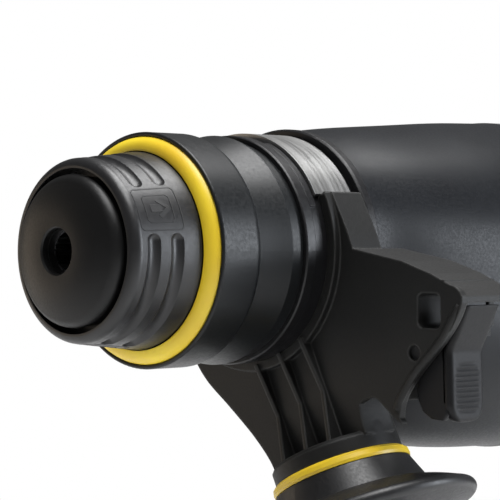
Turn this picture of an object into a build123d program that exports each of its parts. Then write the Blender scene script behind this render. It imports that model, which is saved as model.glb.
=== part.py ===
"""Demolition hammer: a 3 kg rotary and demolition hammer with a quick-change chuck.

Frame: millimetres. The origin is the centre of the bit socket's mouth, on the tool axis.
+X points forward along the bit, +Y to the operator's left, +Z up.
Each function makes one separate piece of the tool, named as a person would name it.
"""
from build123d import *
import os
from math import cos, pi, radians, sin

os.makedirs("parts", exist_ok=True)

# ---------------------------------------------------------------- driving dimensions
SHANK_R = 5.0             # the bit's shank is 10 mm across
BORE_R = SHANK_R + 0.05   # socket bore, a running fit on the shank
BORE_DEPTH = 51.0         # depth of the bit socket
RUN = 0.05                # radial gap of a running fit
GAP = 0.3                 # gap between pieces that move past each other

SPINDLE_R = 15.0          # spindle where it runs in its bearings
CYLINDER_R = 11.0         # bore in which the piston and the striker slide
SEAT_R = 30.9             # barrel seat that the side handle's strap clamps
WALL = 3.0                # wall of the moulded cases

MOTOR_Z = -11.0           # height of the motor axis
LAY_Z = -34.0             # height of the intermediate shaft
MODULE = 1.0              # module of all gears
MOTOR_TEETH, LAY_BIG_TEETH = 8, 38
LAY_SMALL_TEETH, SPINDLE_TEETH = 16, 52

WOBBLE_X = -136.0         # centre of the wobble bearing
FINGER_R = 2.0            # wobble finger that drives the piston's pin

HANDLE_TILT = 25.5        # side handle leans this far from straight down towards +Y
HANDLE_X = -71.8          # axis of the side handle along the tool
PLATE_X = -66.0           # front face of the side handle's bracket

# Outer sections of the moulded body: x, half width, top, bottom
GEAR_CASE_SECTIONS = (
    (-81.0, 33.5, 33.5, -33.5),
    (-88.0, 34.6, 34.3, -38.0),
    (-97.0, 37.0, 35.2, -46.5),
    (-108.0, 39.5, 36.0, -53.8),
    (-125.0, 42.5, 37.2, -58.6),
    (-145.0, 44.6, 38.5, -60.6),
    (-166.0, 46.0, 39.4, -62.0),
)
MOTOR_SECTIONS = (
    (-172.0, 46.2, 39.5, -62.0),
    (-215.0, 47.0, 39.2, -61.2),
    (-285.0, 43.5, 34.5, -56.5),
)
STATOR_R = 41.5


# ---------------------------------------------------------------- helpers
def turned(profile, z=0.0):
    """Solid turned about a line along X at height z, from a closed list of (x, radius)."""
    face = make_face(Polyline(*profile, close=True))
    return Pos(0, 0, z) * revolve(face, Axis.X)


def turned_edges(edges, z=0.0):
    """Solid turned about a line along X at height z, from curves that close a profile."""
    return Pos(0, 0, z) * revolve(make_face(edges), Axis.X)


def tube(x_rear, x_front, r_out, r_in=0.0, z=0.0):
    """Tube or rod along X."""
    ring = Circle(r_out)
    if r_in > 0:
        ring -= Circle(r_in)
    return Pos(x_rear, 0, z) * (Rot(0, 90, 0) * extrude(ring, x_front - x_rear))


def block(x0, x1, y0, y1, z0, z1):
    """Box between two corners."""
    centre = Pos((x0 + x1) / 2, (y0 + y1) / 2, (z0 + z1) / 2)
    return centre * Box(abs(x1 - x0), abs(y1 - y0), abs(z1 - z0))


def cross_rod(x, z, y0, y1, radius):
    """Rod along Y between y0 and y1."""
    return Pos(x, (y0 + y1) / 2, z) * (Rot(90, 0, 0) * Cylinder(radius, abs(y1 - y0)))


def sector(x_rear, x_front, r_out, r_in, start, sweep):
    """Piece of a tube along X, from the angle start, counted from +Y towards +Z."""
    points = ((x_rear, r_in), (x_front, r_in), (x_front, r_out), (x_rear, r_out))
    face = make_face(Polyline(*points, close=True))
    return Rot(start, 0, 0) * revolve(face, Axis.X, revolution_arc=sweep)


def coil(x_rear, x_front, radius, wire_r, turns, z=0.0):
    """Helical spring along X."""
    length = x_front - x_rear - 2 * wire_r
    path = Helix(pitch=length / turns, height=length, radius=radius)
    start = path @ 0
    section = Plane(origin=start, z_dir=path % 0) * Circle(wire_r)
    spring = sweep(section, path=path, is_frenet=True)
    return Pos(x_rear + wire_r, 0, z) * (Rot(0, 90, 0) * spring)


def gear(x_rear, x_front, teeth, bore_r, z, first_tooth):
    """Spur gear along X with slim, relieved teeth; first_tooth is an angle from +Y to +Z."""
    pitch_r = MODULE * teeth / 2
    tip_r = pitch_r + 0.75 * MODULE
    root_r = pitch_r - 1.0 * MODULE
    half_pitch = pi / teeth
    flanks = ((root_r, 0.62), (pitch_r, 0.40), (tip_r, 0.18))
    points = []
    for tooth in range(teeth):
        middle = radians(first_tooth) + 2 * half_pitch * tooth
        rising = [(r, middle - share * half_pitch) for r, share in flanks]
        falling = [(r, middle + share * half_pitch) for r, share in reversed(flanks)]
        points += [(r * cos(a), r * sin(a)) for r, a in rising + falling]
    outline = make_face(Plane.YZ * Polyline(*points, close=True))
    if bore_r > 0:
        outline -= Plane.YZ * Circle(bore_r)
    return Pos(x_rear, 0, z) * extrude(outline, x_front - x_rear, dir=(1, 0, 0))


def bearing(x_rear, x_front, r_in, r_out, z=0.0):
    """Ball bearing: two races and a ring of shielded balls, as one closed unit."""
    depth = (r_out - r_in) * 0.28
    shield = 0.5
    unit = tube(x_rear, x_front, r_out, r_in, z)
    groove = tube(x_front - shield, x_front, r_out - depth, r_in + depth, z)
    back_groove = tube(x_rear, x_rear + shield, r_out - depth, r_in + depth, z)
    return unit - groove - back_groove


def body_loft(sections, inset=0.0):
    """Smooth body through rounded sections, each given by x, half width, top and bottom."""
    faces = []
    for x, half_width, top, bottom in sections:
        width = 2 * (half_width - inset)
        height = top - bottom - 2 * inset
        corner = 0.49 * min(width, height)
        middle = Plane(origin=(x, 0, (top + bottom) / 2), x_dir=(0, 1, 0), z_dir=(1, 0, 0))
        faces.append(middle * RectangleRounded(width, height, corner))
    return loft(faces)


def tilted(shape):
    """Turn a side-handle piece, modelled hanging straight down, to the handle's lean."""
    return Rot(HANDLE_TILT, 0, 0) * shape


def hung(profile):
    """Solid turned about the side handle's axis, from a closed list of (radius, z)."""
    face = make_face(Plane.XZ * Polyline(*profile, close=True))
    return Pos(HANDLE_X, 0, 0) * revolve(face, Axis.Z)


# ---------------------------------------------------------------- chuck
NOSE_R = 19.8             # rubber nose cap
NOSE_TIP = 4.1            # how far it stands before the bit socket's mouth
NOSE_HOLE_R = SHANK_R + 0.5
SLEEVE_FRONT_R = 22.4
SLEEVE_SHOULDER_R = 24.0
SLEEVE_REAR_R = 26.1
SLEEVE_FRONT = -1.2
SLEEVE_REAR = -22.4
GUIDE_R = 12.0            # tool holder where the sleeve slides
PAD_ANGLES = (26.0, 146.0, 266.0)   # smooth pads between the grip grooves
PAD_WIDTH = 40.0
GROOVE_X = (-7.4, -14.6)
BALL_X = -10.0
BALL_R = 3.4
COLLAR_R = 31.4


def nose_cap():
    """Soft dust cap on the front of the tool holder."""
    shoulder = ThreePointArc((-1.4, NOSE_R), (0.5, NOSE_R - 0.7), (1.7, NOSE_R - 2.4))
    dome = ThreePointArc((1.7, NOSE_R - 2.4), (3.5, 12.0), (NOSE_TIP, NOSE_HOLE_R + 0.8))
    rest = Polyline(
        (NOSE_TIP, NOSE_HOLE_R + 0.8), (NOSE_TIP - 0.4, NOSE_HOLE_R + 0.4), (2.0, NOSE_HOLE_R + 0.4),
        (2.0, NOSE_HOLE_R), (0, NOSE_HOLE_R), (0, 9.5), (-6, 9.5), (-6, NOSE_R - 0.6), (-1.4, NOSE_R),
    )
    return turned_edges(Curve() + [shoulder, dome, rest])


def sleeve_radius(x):
    """Outer radius of the lock sleeve's taper at x."""
    share = (x - SLEEVE_FRONT + 2.8) / (SLEEVE_REAR - SLEEVE_FRONT + 2.8)
    return SLEEVE_SHOULDER_R + share * (SLEEVE_REAR_R - SLEEVE_SHOULDER_R)


def lock_sleeve():
    """Sleeve that is pulled back to free the bit, with two broken grip grooves."""
    shoulder = ThreePointArc((SLEEVE_FRONT, SLEEVE_FRONT_R - 0.5), (-1.9, 23.2), (-4, SLEEVE_SHOULDER_R))
    rest = Polyline(
        (-4, SLEEVE_SHOULDER_R), (SLEEVE_REAR, SLEEVE_REAR_R), (SLEEVE_REAR, 19), (-13, 19),
        (-13, GUIDE_R + RUN), (-7, GUIDE_R + RUN), (-7, 21.3), (SLEEVE_FRONT, 21.3),
        (SLEEVE_FRONT, SLEEVE_FRONT_R - 0.5),
    )
    sleeve = turned_edges(Curve() + [shoulder, rest])
    groove_r = 2.6
    for x in GROOVE_X:
        centre_r = sleeve_radius(x) + groove_r - 1.0
        section = Pos(x, centre_r) * Circle(groove_r)
        for pad in PAD_ANGLES:
            start = pad + PAD_WIDTH / 2
            run = Rot(start, 0, 0) * revolve(section, Axis.X, revolution_arc=120 - PAD_WIDTH)
            sleeve -= run
            for end in (start, start + 120 - PAD_WIDTH):
                sleeve -= Rot(end, 0, 0) * (Pos(x, centre_r, 0) * Sphere(groove_r))
    return sleeve


def accent_ring():
    """Bright convex ring between the lock sleeve and the collar."""
    crown = ThreePointArc((-22.6, 26.8), (-23.3, 28.7), (-25.0, 30.1))
    rest = Polyline((-25.0, 30.1), (-27, 30.1), (-27, 26.4), (-22.6, 26.4), (-22.6, 26.8))
    return turned_edges(Curve() + [crown, rest])


def chuck_collar():
    """Collar that is twisted to release the whole quick-change chuck."""
    rim = ThreePointArc((-25.5, 30.1), (-24.9, 30.8), (-25.7, COLLAR_R))
    shoulder = ThreePointArc((-37, COLLAR_R), (-38.9, 30.6), (-39.6, 28.6))
    outside = Polyline((-25.7, COLLAR_R), (-37, COLLAR_R))
    inside = Polyline(
        (-39.6, 28.6), (-39.6, 27), (-36, 27), (-36, SPINDLE_R + RUN), (-31, SPINDLE_R + RUN),
        (-31, 26.4), (-27, 26.4), (-27, 30.1), (-25.5, 30.1),
    )
    return turned_edges(Curve() + [rim, outside, shoulder, inside])


def tool_holder():
    """Front of the spindle, with the bit socket, ball windows and the rear spigot."""
    holder = turned((
        (0, BORE_R), (0, 9.5), (-7, 9.5), (-7, GUIDE_R), (-29, GUIDE_R), (-29, SPINDLE_R),
        (-58, SPINDLE_R), (-58, CYLINDER_R), (-74, CYLINDER_R), (-74, 7.6), (-57, 7.6), (-57, 5.6),
        (-BORE_DEPTH, 5.6), (-BORE_DEPTH, BORE_R),
    ))
    for side in (-1, 1):
        pocket = Pos(BALL_X, side * 8.6, 0) * Sphere(BALL_R + RUN)
        window = cross_rod(BALL_X, 0, side * 8.6, side * 13, BALL_R + RUN)
        throat = cross_rod(BALL_X, 0, side * 4, side * 8.6, 2.2)
        holder -= pocket + window + throat
    return holder


def locking_balls():
    """Two balls that hold the bit's grooves."""
    return Compound(children=[Pos(BALL_X, side * 8.6, 0) * Sphere(BALL_R - 0.02) for side in (-1, 1)])


def sleeve_spring():
    return coil(-27, -13, 15.2, 0.8, 4)


def spindle_rings():
    """Stop washer of the sleeve spring, snap ring of the clutch spring and damping ring."""
    washer = tube(-29, -27, 18, GUIDE_R)
    snap_ring = tube(-92, -90.4, 18, SPINDLE_R)
    damper = tube(-79.2, -75, CYLINDER_R, 6.3)
    return Compound(children=[washer, snap_ring, damper])


# ---------------------------------------------------------------- barrel and spindle
BARREL_SCREW_R = 26.7
BARREL_SCREW_ANGLES = (45, 135, 225, 315)


def bearing_cover():
    """Flared front cover of the barrel."""
    flare = ThreePointArc((-40, 29), (-45, 30.0), (-50.4, 31.3))
    rest = Polyline(
        (-50.4, 31.3), (-50.7, 30), (-55.5, 30), (-55.5, 23), (-47, 23), (-47, 21), (-42, 21),
        (-42, 16.5), (-40, 16.5), (-40, 29),
    )
    return turned_edges(Curve() + [flare, rest])


def barrel():
    """Barrel with its front flange, the clamp seat and the rear flange."""
    body = turned((
        (-55.5, 23), (-55.5, 31.2), (-55.9, 31.5), (-58.8, 31.5), (-59.2, 31.1), (-59.2, SEAT_R),
        (-78, SEAT_R), (-78, 33.6), (-78.6, 34.1), (-81, 34.1), (-81, 20), (-57, 20), (-57, 23),
    ))
    body += sector(-61.2, -59.0, 31.5, SEAT_R - 1, 22, 46)
    return body - barrel_screw_shapes(RUN)


def barrel_screw_shapes(slack=0.0):
    """Four long screws that hold the barrel to the gear case."""
    screws = []
    for angle in BARREL_SCREW_ANGLES:
        shank = tube(-87.5, -59.2, 2.0 + slack)
        head = tube(-59.2, -55.5, 3.4 + slack)
        screws.append(Rot(angle, 0, 0) * (Pos(0, BARREL_SCREW_R, 0) * (shank + head)))
    return Compound(children=screws)


def front_seal():
    return tube(-46.8, -42.2, 21, SPINDLE_R + RUN)


def spindle_bearings():
    """Front ball bearing and rear needle bearing of the spindle."""
    front = bearing(-57, -47, SPINDLE_R + RUN, 23)
    rear = bearing(-128, -122.6, SPINDLE_R + RUN, 19)
    return Compound(children=[front, rear])


def spindle_tube():
    """Hammer cylinder behind the tool holder, vented near its middle."""
    cylinder = tube(-128, -58, SPINDLE_R, CYLINDER_R)
    for angle in (0, 90, 180, 270):
        vent = Rot(angle, 0, 0) * cross_rod(-103, 0, 8, 18, 1.5)
        cylinder -= vent
    return cylinder


def beat_piece():
    """Anvil that passes the striker's blow to the bit."""
    return turned((
        (-52, 0), (-52, 4.6), (-52.6, 4.9), (-59, 4.9), (-60, 7.5), (-73, 7.5), (-74, 6), (-80, 6), (-80, 0),
    ))


def striker():
    """Free piston that the air cushion throws forward, with its O-ring."""
    slug = turned((
        (-84, 0), (-84, 6.6), (-86, 8), (-86, 10.9), (-91, 10.9), (-91, 9.6), (-93, 9.6), (-93, 10.9),
        (-98, 10.9), (-98, 0),
    ))
    ring = tube(-93, -91, CYLINDER_R - RUN, 9.6)
    return Compound(children=[slug, ring])


def piston():
    """Driven piston with a fork for the wobble finger."""
    crown = turned((
        (-108, 0), (-108, 10.9), (-126, 10.9), (-126, 0),
    ))
    fork = block(-142, -125, -9, 9, -6.0, 6.0) & tube(-142, -120, 10.9)
    slot = block(-143, -129.5, -4.6, 4.6, -12, 12)
    eye = cross_rod(WOBBLE_X, 0, -12, 12, 3.0 + RUN)
    return crown + fork - slot - eye


def piston_pin():
    """Cross pin in the piston's fork, bored for the wobble finger."""
    pin = cross_rod(WOBBLE_X, 0, -8.8, 8.8, 3.0)
    middle = cross_rod(WOBBLE_X, 0, -4.3, 4.3, 4.2)
    finger_hole = Pos(WOBBLE_X, 0, 0) * Cylinder(FINGER_R + 2 * RUN, 12)
    return pin + middle - finger_hole


def wobble_ring():
    """Outer race of the wobble bearing with its finger."""
    ring = tube(WOBBLE_X - 3.5, WOBBLE_X + 3.5, 17, 12.3, LAY_Z)
    finger = Pos(WOBBLE_X, 0, -8.5) * Cylinder(FINGER_R, 21)
    neck = Pos(WOBBLE_X, 0, LAY_Z + 18) * Cylinder(3.2, 6)
    hollow = tube(WOBBLE_X - 4, WOBBLE_X + 4, 12.3, 0, LAY_Z)
    return ring + (finger + neck - hollow)


def wobble_drum():
    """Inner race of the wobble bearing, a ball zone on the intermediate shaft."""
    ball = Pos(WOBBLE_X, 0, LAY_Z) * Sphere(12.0)
    hub = tube(WOBBLE_X - 9, WOBBLE_X + 7, 7, 0, LAY_Z)
    kept = (ball & block(WOBBLE_X - 6, WOBBLE_X + 6, -13, 13, LAY_Z - 13, LAY_Z + 13)) + hub
    return kept - tube(WOBBLE_X - 20, WOBBLE_X + 20, 5, 0, LAY_Z)


def intermediate_shaft():
    """Shaft of the big gear and the drum, with the small pinion cut on it."""
    shaft = turned((
        (-98.5, 0), (-98.5, 4), (-107.5, 4), (-107.5, 5), (-159.5, 5), (-159.5, 4), (-167, 4), (-167, 0),
    ), LAY_Z)
    return shaft + gear(-122, -110.5, LAY_SMALL_TEETH, 0, LAY_Z, 90)


def intermediate_gear():
    phase = 90 + 180 / LAY_BIG_TEETH
    wheel = gear(-158, -150, LAY_BIG_TEETH, 5, LAY_Z, phase)
    dish = tube(-152, -150, 15, 8, LAY_Z)
    return wheel - dish


def intermediate_bearings():
    """Front and rear bearings of the intermediate shaft."""
    front = bearing(-106, -100, 4 + RUN, 10, LAY_Z)
    rear = bearing(-166.5, -160.5, 4 + RUN, 9.5, LAY_Z)
    return Compound(children=[front, rear])


def spindle_gear():
    phase = -90 + 180 / SPINDLE_TEETH
    wheel = gear(-121, -112, SPINDLE_TEETH, SPINDLE_R, 0, phase)
    dish = tube(-114, -112, 22, 18)
    return wheel - dish


def clutch_ring():
    """Ratchet ring of the overload clutch."""
    ring = tube(-112, -108, 18, SPINDLE_R)
    for index in range(6):
        notch = Rot(index * 60, 0, 0) * block(-109.5, -107, 14, 19, -2, 2)
        ring -= notch
    return ring


def clutch_spring():
    return coil(-108, -92, 16.5, 1.2, 4)


# ---------------------------------------------------------------- gear case
CASE_SCREW_R = 45.0
CASE_SCREW_ANGLES = (45, 135, 225, 315)
KNOB_X = -134.0
KNOB_Z = -12.0
KNOB_SEAT_R = 15.0


def case_screw_shapes(slack=0.0):
    """Four screws that hold the gear case, the motor plate and the motor housing."""
    screws = []
    for angle in CASE_SCREW_ANGLES:
        shank = tube(-186, -152, 2.0 + slack)
        screws.append(Pos(0, 0, MOTOR_Z) * (Rot(angle, 0, 0) * (Pos(0, CASE_SCREW_R, 0) * shank)))
    return Compound(children=screws)


def gear_case():
    """Moulded case round the gears, with screw bosses and the knob's seat."""
    outer = body_loft(GEAR_CASE_SECTIONS)
    inner = body_loft(GEAR_CASE_SECTIONS[1:], WALL)
    knob_seat = cross_rod(KNOB_X, KNOB_Z, -48, -30, KNOB_SEAT_R)
    case = outer + knob_seat - inner
    for angle in CASE_SCREW_ANGLES:
        boss = Rot(angle, 0, 0) * (Pos(0, CASE_SCREW_R - 0.3, 0) * tube(-166, -150, 4.4))
        case += Pos(0, 0, MOTOR_Z) * boss
    lay_seat = tube(-107, -88, 13, 0, LAY_Z) & outer
    case += lay_seat - tube(-108, -100, 10, 0, LAY_Z) - tube(-100, -98, 5, 0, LAY_Z)
    case -= tube(-96, -80, 20)
    case -= tube(-108, -87.9, 19)
    case -= cross_rod(KNOB_X, KNOB_Z, -49, -26, 6 + RUN)
    return case - barrel_screw_shapes(RUN) - case_screw_shapes(RUN)


def bearing_plate():
    """Bulkhead that carries the rear end of the spindle."""
    slab = block(-128, -122.6, -45, 45, -62, 40)
    plate = body_loft(GEAR_CASE_SECTIONS[1:], WALL + 0.1) & slab
    plate -= cross_rod(KNOB_X, KNOB_Z, -48, -24, KNOB_SEAT_R + GAP)
    return plate - tube(-129, -122, 19) - tube(-129, -122, 9, 0, LAY_Z)


def motor_plate():
    """Plate between the gear case and the motor, with both rear bearing seats."""
    edge = GEAR_CASE_SECTIONS[-1][1:]
    plate = body_loft(((-172, *MOTOR_SECTIONS[0][1:]), (-166, *edge)))
    plate += tube(-166, -160.5, 14, 0, MOTOR_Z) + tube(-166, -160.5, 12.5, 0, LAY_Z)
    plate -= tube(-171, -160, 11, 0, MOTOR_Z) + tube(-173, -170, 7, 0, MOTOR_Z)
    plate -= tube(-167.5, -160, 9.5, 0, LAY_Z)
    return plate - case_screw_shapes(RUN)


def mode_knob():
    """Knob that picks drilling, hammer drilling or chiselling, with its eccentric pin."""
    knob = fillet(cross_rod(KNOB_X, KNOB_Z, -57, -48.3, 13.5).edges().sort_by(Axis.Y)[0], 1.5)
    for side in (-1, 1):
        knob -= Pos(KNOB_X + side * 9.5, -55, KNOB_Z) * Box(8, 7, 30)
    stem = cross_rod(KNOB_X, KNOB_Z, -48.3, -27, 6)
    pin = cross_rod(KNOB_X, KNOB_Z + 3.5, -27, -23, 1.8)
    return knob + stem + pin


# ---------------------------------------------------------------- motor
def rotor_shaft():
    """Motor shaft with its cut pinion."""
    shaft = turned((
        (-160, 0), (-160, 5), (-270, 5), (-270, 4), (-281, 4), (-281, 0),
    ), MOTOR_Z)
    return shaft + gear(-160, -149.5, MOTOR_TEETH, 0, MOTOR_Z, -90)


def rotor_front_bearing():
    return bearing(-171, -164, 5 + RUN, 11, MOTOR_Z)


def rotor_rear_bearing():
    return bearing(-280, -273, 4 + RUN, 11, MOTOR_Z)


def cooling_fan():
    """Radial fan: straight blades on a disc."""
    fan = tube(-183, -181, 36, 0, MOTOR_Z) + tube(-190, -181, 9, 0, MOTOR_Z)
    blades = 11
    for index in range(blades):
        blade = Rot(index * 360 / blades, 0, 0) * block(-190, -183, 14, 35.5, -0.9, 0.9)
        fan += Pos(0, 0, MOTOR_Z) * blade
    return fan - tube(-191, -180, 5, 0, MOTOR_Z)


def fan_baffle():
    return tube(-193.5, -191.5, STATOR_R, 24, MOTOR_Z)


def rotor_core():
    """Laminated rotor with its winding slots, and its coil heads."""
    core = tube(-243, -198, 26, 5, MOTOR_Z)
    slots = 12
    for index in range(slots):
        slot = Rot(index * 360 / slots, 0, 0) * block(-244, -197, 23, 27, -1.2, 1.2)
        core -= Pos(0, 0, MOTOR_Z) * slot
    rear_head = tube(-248, -243, 20, 5, MOTOR_Z)
    front_head = tube(-198, -194.5, 20, 5, MOTOR_Z)
    return Compound(children=[core, rear_head, front_head])


def commutator():
    """Copper segments behind the windings."""
    ring = tube(-267, -249, 16, 5, MOTOR_Z)
    segments = 24
    for index in range(segments):
        cut = Rot(index * 360 / segments, 0, 0) * block(-268, -250.5, 15.3, 17, -0.25, 0.25)
        ring -= Pos(0, 0, MOTOR_Z) * cut
    return ring


def stator():
    """Laminated field core with two pole faces, and a field coil each side."""
    core = tube(-243, -198, STATOR_R, 33, MOTOR_Z)
    coils = []
    for side in (-1, 1):
        half = block(-243, -198, -17, 17, MOTOR_Z, MOTOR_Z + side * 40)
        core += tube(-243, -198, 34, 26.8, MOTOR_Z) & half
        beside = block(-247, -195, side * 18, side * 33, MOTOR_Z - 25, MOTOR_Z + 25)
        coils.append(tube(-247, -195, 32.5, 27.6, MOTOR_Z) & beside)
    return Compound(children=[core, *coils])


def brush_holders():
    """Two brass brush boxes on a moulded ring."""
    boxes = []
    for side in (-1, 1):
        box = block(-265, -252, side * 18.5, side * 38, MOTOR_Z - 6, MOTOR_Z + 6)
        hole = block(-262.6, -254.4, side * 18, side * 36.5, MOTOR_Z - 3.6, MOTOR_Z + 3.6)
        boxes.append(box - hole)
    return Compound(children=boxes)


def carbon_brushes():
    brushes = []
    for side in (-1, 1):
        brushes.append(block(-262.5, -254.5, side * 16.3, side * 29, MOTOR_Z - 3.5, MOTOR_Z + 3.5))
    return Compound(children=brushes)


def brush_springs():
    """Two small compression springs behind the brushes."""
    springs = []
    for side in (-1, 1):
        turn = 90 if side > 0 else -90
        body = coil(29, 36.5, 2.4, 0.35, 6)
        springs.append(Pos(-258.5, 0, MOTOR_Z) * (Rot(0, 0, turn) * body))
    return Compound(children=springs)


def brush_plate():
    """Moulded rear ring that carries the brush boxes and the rear rotor bearing."""
    ring = tube(-272, -248.5, STATOR_R, 37.5, MOTOR_Z)
    for side in (-1, 1):
        ring -= block(-265, -252, side * 35, side * 38, MOTOR_Z - 6, MOTOR_Z + 6)
    disc = tube(-282.5, -272, STATOR_R, 0, MOTOR_Z)
    disc -= tube(-280, -271, 11, 0, MOTOR_Z) + tube(-284, -279, 6, 0, MOTOR_Z)
    for index in range(8):
        slot = Rot(index * 45 + 22.5, 0, 0) * block(-283, -271, 17, 34, -4, 4)
        disc -= Pos(0, 0, MOTOR_Z) * slot
    return ring + disc


def motor_housing():
    """Moulded tube round the motor, with two rows of cooling slots each side."""
    housing = body_loft(MOTOR_SECTIONS) - tube(-286, -171, STATOR_R, 0, MOTOR_Z)
    for side in (-1, 1):
        for index in range(6):
            x = -181.5 - 3.6 * index if index < 3 else -254 - 5.0 * (index - 3)
            low, high = (MOTOR_Z - 16, MOTOR_Z + 16) if index < 3 else (MOTOR_Z - 20, MOTOR_Z - 9)
            housing -= block(x - 0.9, x + 0.9, side * 36, side * 50, low, high)
            if index >= 3:
                housing -= block(x - 0.9, x + 0.9, side * 36, side * 50, MOTOR_Z + 9, MOTOR_Z + 20)
    return housing - case_screw_shapes(RUN)


# ---------------------------------------------------------------- rear handle
GRIP_HALF = 17.0          # half width of the rear grip
OUTLINE_CORNER = 12.0
HANDLE_OUTLINE = (
    (-285, 34), (-332, 33), (-364, 25), (-382, 4), (-387, -24), (-381, -92),
    (-368, -112), (-340, -112), (-303, -88), (-285, -56),
)
FINGER_OUTLINE = (
    (-306, 8), (-336, 8), (-351, -4), (-354, -30), (-347, -78), (-336, -92), (-322, -84), (-306, -70),
)
BELL_SECTIONS = (
    (-285, 43.5, 34.5, -56.5),
    (-295, 36.0, 33.0, -54.0),
    (-304, 20.0, 30.0, -48.0),
)
TRIGGER_PIVOT = (-358.0, -1.0)
HANDLE_SCREWS = ((-296, 22), (-345, 22), (-372, -4), (-370, -92), (-341, -102), (-300, -72))
BUTTON_X, BUTTON_Z = -372.0, -24.0
DIRECTION_X, DIRECTION_Z = -352.0, 14.5


def handle_face(points, corner, grow=0.0):
    """Rounded closed outline in the XZ plane, grown outwards by grow."""
    face = make_face(Plane.XZ * Polyline(*points, close=True))
    face = fillet(face.vertices(), corner)
    return offset(face, grow) if grow else face


def handle_body():
    """Both handle halves as one hollow D-shaped body with its finger opening."""
    outline = handle_face(HANDLE_OUTLINE, OUTLINE_CORNER)
    body = extrude(outline, GRIP_HALF, both=True)
    body = fillet(body.edges().group_by(Axis.Y)[0] + body.edges().group_by(Axis.Y)[-1], 7)
    bell = body_loft(BELL_SECTIONS)
    body += bell
    fingers = extrude(handle_face(FINGER_OUTLINE, 7), 60, both=True)
    body -= fingers
    rims = extrude(handle_face(FINGER_OUTLINE, 7, 2.4), 3, both=True)
    for side in (-1, 1):
        body -= Pos(0, side * (GRIP_HALF + 0.6), 0) * rims
    wall = handle_face(HANDLE_OUTLINE, OUTLINE_CORNER, -WALL - 1.5)
    core = wall - handle_face(FINGER_OUTLINE, 7, WALL)
    body -= extrude(core, GRIP_HALF - WALL - 1, both=True)
    body -= body_loft(BELL_SECTIONS, WALL + 0.5) - extrude(handle_face(FINGER_OUTLINE, 7, WALL), 60, both=True)
    body -= block(-287, -284.9, -38, 38, -48, 26)
    for x, z in HANDLE_SCREWS:
        body += cross_rod(x, z, -GRIP_HALF + 1, GRIP_HALF - 1, 4.2)
    return body


def handle_openings():
    """Everything cut out of the handle halves for the switch parts, screws and gland."""
    trigger_slot = block(-360, -330, -9.6, 9.6, -52, 4)
    button = cross_rod(BUTTON_X, BUTTON_Z, 10, 20, 5 + GAP)
    direction = cross_rod(DIRECTION_X, DIRECTION_Z, -22, 22, 4 + GAP)
    gland = Pos(-356, 0, -112) * Cylinder(8, 14)
    return trigger_slot + button + direction + gland + grip_rubber_band()


def handle_screw_shapes(slack=0.0):
    """Six screws that close the handle, put in from the operator's right."""
    screws = []
    for x, z in HANDLE_SCREWS:
        shank = cross_rod(x, z, -13.5, 12, 1.7 + slack)
        head = cross_rod(x, z, -17.6, -13.5, 3.3 + slack)
        screws.append(shank + head)
    return Compound(children=screws)


def grip_rubber_band():
    """Soft band let into the back of the grip."""
    outer = extrude(handle_face(HANDLE_OUTLINE, OUTLINE_CORNER), 13, both=True)
    inner = extrude(handle_face(HANDLE_OUTLINE, OUTLINE_CORNER, -2.4), 20, both=True)
    return (outer - inner) & block(-395, -366, -20, 20, -100, 18)


def left_handle_shell(body, cuts):
    return (body & block(-400, -280, 0, 70, -130, 60)) - cuts


def right_handle_shell(body, cuts):
    return (body & block(-400, -280, -70, 0, -130, 60)) - cuts


def switch_body():
    return block(-378.5, -366, -9.5, 9.5, -58, -32)


def trigger():
    """Finger trigger that swings back on its top pin."""
    x, z = TRIGGER_PIVOT
    front = ThreePointArc((-346, -1), (-349.5, -24), (-343.5, -46))
    rest = Polyline((-343.5, -46), (-351, -48), (-357, -30), (-359, -6), (-354, 3), (-348, 3), (-346, -1))
    blade = extrude(make_face(Plane.XZ * (Curve() + [front, rest])), 9, both=True)
    eye = cross_rod(x, z, -9, 9, 3.8)
    return blade + eye - cross_rod(x, z, -10, 10, 2 + RUN)


def trigger_pin():
    x, z = TRIGGER_PIVOT
    return cross_rod(x, z, -GRIP_HALF + WALL + 1, GRIP_HALF - WALL - 1, 2)


def lock_on_button():
    """Side button that holds the trigger in."""
    cap = fillet(cross_rod(BUTTON_X, BUTTON_Z, 14, 19.4, 5).edges().sort_by(Axis.Y)[-1], 1)
    return cap + cross_rod(BUTTON_X, BUTTON_Z, 8, 14, 3)


def direction_slide():
    """Push-through bar that reverses the motor."""
    bar = cross_rod(DIRECTION_X, DIRECTION_Z, -20.5, 20.5, 4)
    return chamfer(bar.edges().group_by(Axis.Y)[0] + bar.edges().group_by(Axis.Y)[-1], 0.8)


def cord_gland():
    """Inlet sleeve for the mains lead; the lead itself is not part of the model."""
    sleeve = Pos(-356, 0, -112) * (Cylinder(8, 14) + Pos(0, 0, -6) * Cylinder(9.5, 3))
    return sleeve - Pos(-356, 0, -112) * Cylinder(4, 40)


# ---------------------------------------------------------------- side handle
STRAP_IN = SEAT_R + RUN   # inner radius of the steel strap
STRAP_T = 1.35
STRAP_OUT = STRAP_IN + STRAP_T
ARM_TOP = 28.0            # where the strap enters the bracket's front arm, degrees
STEM_R = 18.0
STEM_FOOT = -65.4         # lower face of the bracket's stem, along the handle axis
FIN_OFFSETS = (-9.5, -0.2, 9.0)
FIN_HALF = 0.65           # half thickness of each fin
PIN_Y, PIN_Z = 59.4, -26.3
WINDOW_Y, WINDOW_Z = 64.4, -15.3
BRACKET_REAR = -86.5
PLATE_T = 2.2
LEVER_FRONT, LEVER_REAR = -68.6, -82.2
FAR_ARM = 180 + 2 * HANDLE_TILT - ARM_TOP   # where the strap leaves the far arm, degrees
TAIL_ANGLE = 50.0         # the tails leave the barrel this far each side of the handle axis
TAIL_LENGTH = 18.0
TAIL_X = -71.5
TAIL_WIDTH = 8.6
BOLT_R = 3.0              # bolt from the strap anchor into the side grip


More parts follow.
